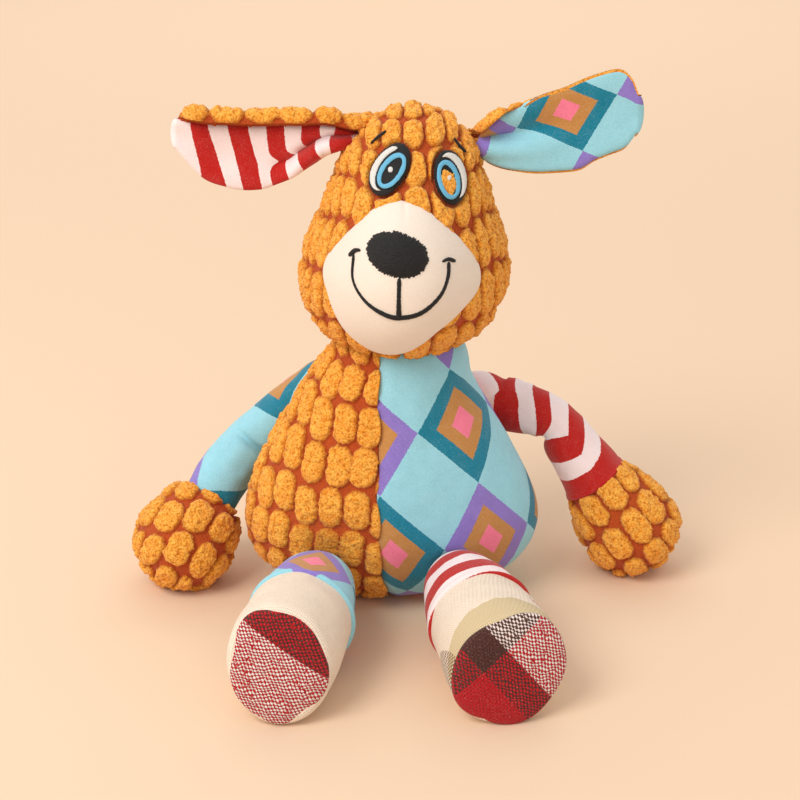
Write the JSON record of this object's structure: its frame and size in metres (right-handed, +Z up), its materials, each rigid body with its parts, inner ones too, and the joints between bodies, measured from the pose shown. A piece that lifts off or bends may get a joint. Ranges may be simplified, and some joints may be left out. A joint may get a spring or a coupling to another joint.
{
  "type": "squeaky dog toy",
  "caption": "Seated patchwork plush dog with stuffed head, ears, arms and legs on soft sewn joints and a pressable squeaker in its belly.",
  "frame": {"origin": "middle of the bounding box at the floor the toy sits on", "axes": "+Z up, the dog faces -Y, +X is the dog's own left"},
  "size_m": [0.2618, 0.177, 0.242],
  "materials": {
    "bubble_cord": "matte",
    "diamond_velour": "matte",
    "striped_velour": "matte",
    "muzzle_plush": "matte",
    "thread_black": "satin",
    "thread_white": "satin",
    "thread_blue": "satin",
    "linen": "matte",
    "plaid": "matte",
    "stuffing": "matte",
    "squeaker_plastic": "satin",
    "reed_brass": "satin"
  },
  "bodies": {
    "torso": {"torso_cover_right": "bubble_cord", "torso_cover_left": "diamond_velour", "torso_stuffing_front": "stuffing", "torso_stuffing_back": "stuffing", "squeaker_back_cup": "squeaker_plastic", "squeaker_reed_holder": "squeaker_plastic", "squeaker_reed": "reed_brass"},
    "squeaker_press": {"squeaker_front_cup": "squeaker_plastic"},
    "neck": {"neck_stuffing": "stuffing"},
    "head": {"head_front_cover": "bubble_cord", "head_back_cover": "bubble_cord", "muzzle_patch": "muzzle_plush", "head_stuffing": "stuffing", "nose_embroidery": "thread_black", "mouth_embroidery": "thread_black", "right_eye_base": "thread_black", "right_eye_white": "thread_white", "right_eye_iris": "thread_blue", "left_eye_base": "thread_black", "left_eye_white": "thread_white", "left_eye_iris": "thread_blue", "right_brow": "thread_black", "left_brow": "thread_black"},
    "right_ear": {"right_ear_front": "striped_velour", "right_ear_back": "bubble_cord"},
    "left_ear": {"left_ear_front": "diamond_velour", "left_ear_back": "bubble_cord"},
    "right_upper_arm": {"right_sleeve_upper": "diamond_velour", "right_arm_stuffing_upper": "stuffing"},
    "right_forearm": {"right_sleeve_lower": "diamond_velour", "right_paw": "bubble_cord", "right_arm_stuffing_lower": "stuffing"},
    "left_upper_arm": {"left_sleeve_upper": "striped_velour", "left_arm_stuffing_upper": "stuffing"},
    "left_forearm": {"left_sleeve_lower": "striped_velour", "left_paw": "bubble_cord", "left_arm_stuffing_lower": "stuffing"},
    "right_leg": {"right_cuff": "diamond_velour", "right_foot_upper": "linen", "right_leg_stuffing": "stuffing", "right_sole": "plaid"},
    "left_leg": {"left_cuff": "striped_velour", "left_foot_upper": "linen", "left_leg_stuffing": "stuffing", "left_sole": "plaid"}
  },
  "joints": [
    {"name": "neck_turn", "type": "hinge", "parent": "torso", "child": "neck", "pos_m": [-0.0049, 0.04208, 0.106], "axis": [0, 0, 1], "range_deg": [-40, 40], "stiffness_Nm_per_rad": 0.5},
    {"name": "head_nod", "type": "hinge", "parent": "neck", "child": "head", "pos_m": [-0.0049, 0.04208, 0.106], "axis": [1, 0, 0], "range_deg": [-20, 6], "stiffness_Nm_per_rad": 0.9},
    {"name": "right_ear_flop", "type": "hinge", "parent": "head", "child": "right_ear", "pos_m": [-0.02806, 0.04408, 0.21646], "axis": [0.5618, 0, 0.8273], "range_deg": [-50, 55], "stiffness_Nm_per_rad": 0.04},
    {"name": "left_ear_flop", "type": "hinge", "parent": "head", "child": "left_ear", "pos_m": [0.03041, 0.04408, 0.21282], "axis": [0.4305, 0, -0.9026], "range_deg": [-50, 55], "stiffness_Nm_per_rad": 0.04},
    {"name": "right_shoulder", "type": "hinge", "parent": "torso", "child": "right_upper_arm", "pos_m": [-0.04838, 0.07346, 0.09165], "axis": [0, 1, 0], "range_deg": [0, 75], "stiffness_Nm_per_rad": 0.15},
    {"name": "left_shoulder", "type": "hinge", "parent": "torso", "child": "left_upper_arm", "pos_m": [0.03422, 0.07543, 0.08942], "axis": [0, -1, 0], "range_deg": [0, 75], "stiffness_Nm_per_rad": 0.15},
    {"name": "right_elbow", "type": "hinge", "parent": "right_upper_arm", "child": "right_forearm", "pos_m": [-0.0797, 0.07615, 0.05944], "axis": [-0.7139, -0.1669, 0.6801], "range_deg": [-60, 5], "stiffness_Nm_per_rad": 0.1},
    {"name": "left_elbow", "type": "hinge", "parent": "left_upper_arm", "child": "left_forearm", "pos_m": [0.07177, 0.06004, 0.06996], "axis": [0.4654, 0.8572, 0.2204], "range_deg": [-40, 18], "stiffness_Nm_per_rad": 0.1},
    {"name": "right_hip", "type": "hinge", "parent": "torso", "child": "right_leg", "pos_m": [-0.04161, -0.0145, 0.02482], "axis": [-1, 0, 0], "range_deg": [-45, 75], "stiffness_Nm_per_rad": 0.25},
    {"name": "left_hip", "type": "hinge", "parent": "torso", "child": "left_leg", "pos_m": [0.0237, -0.01408, 0.02493], "axis": [-1, 0, 0], "range_deg": [-45, 75], "stiffness_Nm_per_rad": 0.25},
    {"name": "squeaker_press", "type": "slide", "parent": "torso", "child": "squeaker_press", "axis": [0, 1, 0], "range_m": [0, 0.008], "stiffness_N_per_m": 300}
  ]
}
